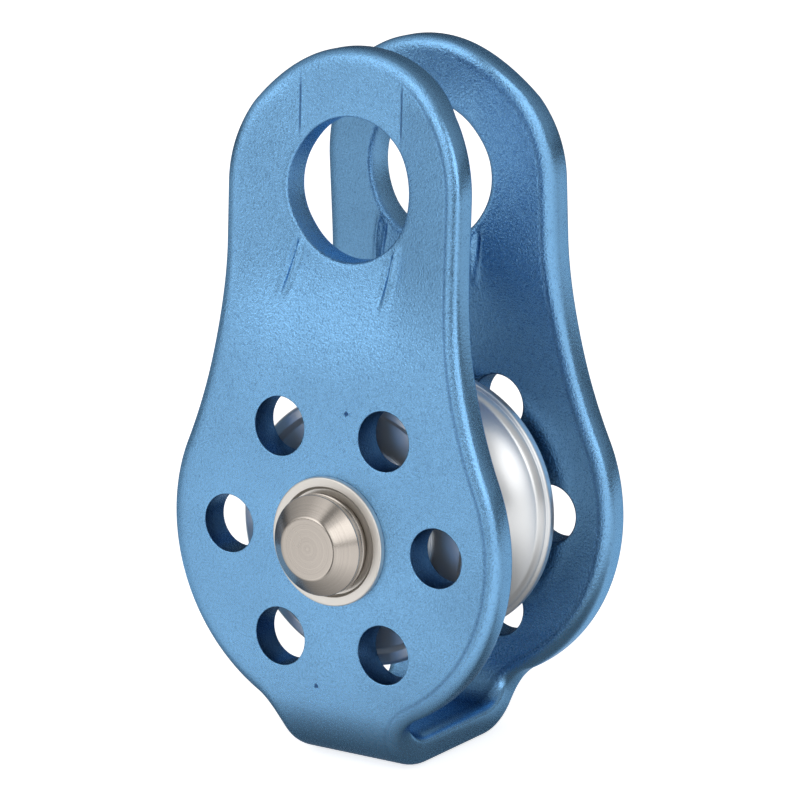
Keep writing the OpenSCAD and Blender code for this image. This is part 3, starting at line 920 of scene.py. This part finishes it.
class PULLEY_OT_sheave(bpy.types.Operator):
    """Builds the grooved sheave with its rounded lips and stepped bore"""
    bl_idname = "pulley.sheave"
    bl_label = "Sheave"

    def execute(self, context):
        s = in_millimetres(context.scene.pulley.turned)
        half = s.sheave_w / 2
        low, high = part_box("bearing_outer_ring")
        bore = (high[0] - low[0]) / 2 / MM
        ring_half = (high[1] - low[1]) / 2 / MM
        ring_t = node_span("retaining_ring", 1)
        reach = s.sheave_r - 0.75 - s.groove_floor - s.groove_r
        open_a = math.acos(np.clip(-reach / s.groove_r, -1, 1))
        groove = arc_points(s.groove_floor + s.groove_r, 0, s.groove_r, math.pi + open_a, math.pi - open_a,
                            0.35)
        mouth, dish, lip = half - s.land_w, half - 0.6, s.sheave_r - 0.45
        shoulder_end, ring_end = ring_half + 1.2, ring_half + ring_t
        right = [(bore, ring_half, 0), (bore - 1, ring_half, 0.08), (bore - 1, shoulder_end, 0.1),
                 (bore, shoulder_end, 0.1), (bore, half, 0.2), (bore + 0.8, half, 0.15),
                 (bore + 0.8, dish, 0.2), (s.sheave_r - 2, dish, 0.2), (s.sheave_r - 1.4, half, 0.2),
                 (s.sheave_r, half, 0.45), (s.sheave_r, mouth, 0.3), (lip, mouth - 0.25, 0.1)]
        left = [(lip, -mouth + 0.25, 0.1), (s.sheave_r, -mouth, 0.3), (s.sheave_r, -half, 0.45),
                (s.sheave_r - 1.4, -half, 0.2), (s.sheave_r - 2, -dish, 0.2), (bore + 0.8, -dish, 0.2),
                (bore + 0.8, -half, 0.15), (bore, -half, 0.2), (bore, -ring_end, 0.05),
                (bore + 0.45, -ring_end, 0.05), (bore + 0.45, -ring_half, 0.05), (bore, -ring_half, 0.05)]
        if groove[0, 1] < 0:
            groove = groove[::-1]
        middle = [(r, y, 0) for r, y in groove.tolist()]
        piece = turned("sheave_wheel", rounded_profile(right + middle + left, True))
        finish_piece(piece, "sheave", ["sheave"], all_materials()["turned_aluminium"])
        return {"FINISHED"}


class PULLEY_OT_inner_pieces(bpy.types.Operator):
    """Gives the spacers, the bearing and its retaining ring their finishes"""
    bl_idname = "pulley.inner_pieces"
    bl_label = "Spacers and bearing"

    def execute(self, context):
        finishes = {"spacer_alloy": ["spacer_front", "spacer_rear"],
                    "bearing_steel": ["bearing_outer_ring", "bearing_inner_ring"]
                                     + sorted(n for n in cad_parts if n.startswith("ball_")),
                    "shield_steel": ["shield_front", "shield_rear"],
                    "spring_steel": ["retaining_ring"], "cage_plastic": ["bearing_cage"]}
        for finish, nodes in finishes.items():
            for node in nodes:
                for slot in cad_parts[node].material_slots:
                    slot.material = all_materials()[finish]
        return {"FINISHED"}


# ---------------------------------------------------------------- stage

# brightness of the studio round the pulley, as (bearing in degrees from the front towards the right, level):
# a soft panel left of the front, a narrow dark flag at the front, a panel right of it, and dim sides and back
WALL_RING = ((-180, 0.15), (-130, 0.12), (-90, 0.30), (-62, 0.50), (-36, 1.15), (-20, 1.55), (-10, 1.20),
             (-2, 0.08), (7, 0.06), (16, 0.90), (50, 0.30), (90, 0.30), (130, 0.32), (180, 0.15))
FLOOR_RING = ((-180, 0.25), (-120, 0.35), (-85, 0.55), (-62, 0.80), (-36, 1.08), (-20, 1.52), (-10, 1.30),
              (-2, 0.08), (7, 0.05), (15, 1.20), (32, 1.35), (80, 1.00), (110, 0.80), (150, 0.90),
              (180, 0.40))
RING_TOP = 1.6


def ring_level(tree, vector, ring):
    """Level of a studio ring at the bearing of a direction or place."""
    parts = tree.nodes.new("ShaderNodeSeparateXYZ")
    wire(tree, vector, parts.inputs[0])
    forward = maths(tree, "MULTIPLY", parts.outputs["Y"], -1.0)
    bearing = maths(tree, "ARCTAN2", parts.outputs["X"], forward)
    ramp = tree.nodes.new("ShaderNodeValToRGB")
    ramp.color_ramp.interpolation = "EASE"
    stops = ramp.color_ramp.elements
    while len(stops) < len(ring):
        stops.new(0.5)
    for stop, (angle, level) in zip(stops, ring):
        stop.position = (angle + 180) / 360
        stop.color = (level / RING_TOP, level / RING_TOP, level / RING_TOP, 1)
    wire(tree, spread(tree, bearing, 0, 1, -math.pi, math.pi), ramp.inputs[0])
    return maths(tree, "MULTIPLY", ramp.outputs["Color"], RING_TOP), parts.outputs["Z"]


def studio_dome(strength):
    """World light as a plain soft studio: brightness set by the bearing round the pulley, with a bright
    top, and white where the camera looks straight at it."""
    world = bpy.data.worlds.new("studio_dome")
    world.use_nodes = True
    tree = world.node_tree
    tree.nodes.clear()
    end = tree.nodes.new("ShaderNodeOutputWorld")
    place = tree.nodes.new("ShaderNodeTexCoord")
    level, height = ring_level(tree, place.outputs["Generated"], WALL_RING)
    window = spread(tree, height, 0.05, 2.10, 0.05, 0.24)
    level = maths(tree, "MULTIPLY", level, window)
    top = spread(tree, height, 0, 1, 0.55, 0.98)
    level = maths(tree, "ADD", maths(tree, "MULTIPLY", level, maths(tree, "SUBTRACT", 1.0, top)),
                  maths(tree, "MULTIPLY", top, 0.5))
    glow = tree.nodes.new("ShaderNodeBackground")
    wire(tree, maths(tree, "MULTIPLY", level, strength), glow.inputs["Strength"])
    white = tree.nodes.new("ShaderNodeBackground")
    white.inputs["Strength"].default_value = 1.05
    path = tree.nodes.new("ShaderNodeLightPath")
    mix = tree.nodes.new("ShaderNodeMixShader")
    wire(tree, path.outputs["Is Camera Ray"], mix.inputs[0])
    wire(tree, glow.outputs[0], mix.inputs[1])
    wire(tree, white.outputs[0], mix.inputs[2])
    wire(tree, mix.outputs[0], end.inputs[0])
    return world


def pale_floor(half, z):
    """A large pale floor under the pulley: evenly bright to the camera, and to other rays a glow set by the
    studio ring, with painted shadow right under the pulley.
    """
    mesh = bpy.data.meshes.new("studio_floor")
    corners = np.array([[-1, -1, 0], [1, -1, 0], [1, 1, 0], [-1, 1, 0]]) * half + [0, 0, z]
    mesh.from_pydata(corners.tolist(), [], [(0, 1, 2, 3)])
    floor = bpy.data.objects.new("studio_floor", mesh)
    bpy.context.scene.collection.objects.link(floor)
    material = bpy.data.materials.new("pale_floor")
    material.use_nodes = True
    tree = material.node_tree
    tree.nodes.clear()
    end = tree.nodes.new("ShaderNodeOutputMaterial")
    matt = tree.nodes.new("ShaderNodeBsdfDiffuse")
    matt.inputs["Color"].default_value = (0.85, 0.85, 0.86, 1)
    glow = tree.nodes.new("ShaderNodeEmission")
    glow.inputs["Strength"].default_value = 0.75
    both = tree.nodes.new("ShaderNodeAddShader")
    dim = tree.nodes.new("ShaderNodeEmission")
    place = tree.nodes.new("ShaderNodeTexCoord")
    length = tree.nodes.new("ShaderNodeVectorMath")
    length.operation = "LENGTH"
    narrow = tree.nodes.new("ShaderNodeVectorMath")
    narrow.operation = "MULTIPLY"
    narrow.inputs[1].default_value = (0.4, 1, 0)
    wire(tree, place.outputs["Object"], narrow.inputs[0])
    wire(tree, narrow.outputs["Vector"], length.inputs[0])
    level, _ = ring_level(tree, place.outputs["Object"], FLOOR_RING)
    # painted shadow: for rays other than the camera's, the floor glows less right under the pulley
    under = spread(tree, length.outputs["Value"], 0.20, 0.92, 0.012, 0.032)
    open_floor = spread(tree, length.outputs["Value"], 0, 1, 0.030, 0.050)
    level = maths(tree, "ADD", maths(tree, "MULTIPLY", level, open_floor),
                  maths(tree, "MULTIPLY", under, maths(tree, "SUBTRACT", 1.0, open_floor)))
    wire(tree, level, dim.inputs["Strength"])
    path = tree.nodes.new("ShaderNodeLightPath")
    mix = tree.nodes.new("ShaderNodeMixShader")
    wire(tree, matt.outputs[0], both.inputs[0])
    wire(tree, glow.outputs[0], both.inputs[1])
    wire(tree, path.outputs["Is Camera Ray"], mix.inputs[0])
    wire(tree, dim.outputs[0], mix.inputs[1])
    wire(tree, both.outputs[0], mix.inputs[2])
    wire(tree, mix.outputs[0], end.inputs[0])
    mesh.materials.append(material)


def area_light(name, place, aim, width, power):
    """A soft square light that faces a point."""
    data = bpy.data.lights.new(name, "AREA")
    data.shape = "SQUARE"
    data.size, data.energy = width, power
    lamp = bpy.data.objects.new(name, data)
    facing = (Vector(aim) - Vector(place)).to_track_quat("-Z", "Y").to_matrix().to_4x4()
    lamp.matrix_world = Matrix.Translation(place) @ facing
    bpy.context.scene.collection.objects.link(lamp)


class PULLEY_OT_stage(bpy.types.Operator):
    """Builds the floor, the studio light and the camera"""
    bl_idname = "pulley.stage"
    bl_label = "Stage"

    def execute(self, context):
        s = context.scene.pulley.studio
        context.scene.world = studio_dome(s.dome)
        pale_floor(6.0, CAD_BOX[0][2] - FLOOR_GAP)
        area_light("right_panel", (0.62, -0.66, 0.30), (0, 0, -0.02), 0.6, 1.5)
        data = bpy.data.cameras.new("camera")
        data.lens = s.lens
        data.sensor_width = 36
        data.clip_start, data.clip_end = 0.01, 20
        turn = (Matrix.Rotation(s.azimuth, 4, "Z") @ Matrix.Rotation(math.pi / 2 - s.elevation, 4, "X")
                @ Matrix.Rotation(s.roll, 4, "Z"))
        back = turn.to_3x3() @ Vector((0, 0, 1))
        camera = bpy.data.objects.new("camera", data)
        camera.matrix_world = Matrix.Translation(Vector(s.aim) + back * s.distance) @ turn
        context.scene.collection.objects.link(camera)
        context.scene.camera = camera
        context.scene.view_settings.view_transform = "Standard"
        return {"FINISHED"}


class PULLEY_PT_panel(bpy.types.Panel):
    """Lists the pulley's pieces"""
    bl_label = "Rope pulley"
    bl_idname = "PULLEY_PT_panel"
    bl_space_type = "VIEW_3D"
    bl_region_type = "UI"
    bl_category = "Pulley"

    def draw(self, context):
        for step in STEPS:
            self.layout.operator(step.bl_idname)


SETTINGS = (CheekSettings, TurnedSettings, FinishSettings, StudioSettings, PulleySettings)
STEPS = (PULLEY_OT_cheek_frame, PULLEY_OT_axle, PULLEY_OT_washers, PULLEY_OT_sheave, PULLEY_OT_inner_pieces,
         PULLEY_OT_stage)


def register():
    """Registers the settings, the operators and the panel."""
    for item in (*SETTINGS, *STEPS, PULLEY_PT_panel):
        bpy.utils.register_class(item)
    bpy.types.Scene.pulley = PointerProperty(type=PulleySettings)


def unregister():
    """Takes them away again."""
    del bpy.types.Scene.pulley
    for item in reversed((*SETTINGS, *STEPS, PULLEY_PT_panel)):
        bpy.utils.unregister_class(item)


def main():
    """Builds every piece in order."""
    register()
    for step in STEPS:
        group, name = step.bl_idname.split(".")
        getattr(getattr(bpy.ops, group), name)()


if __name__ == "__main__":
    main()
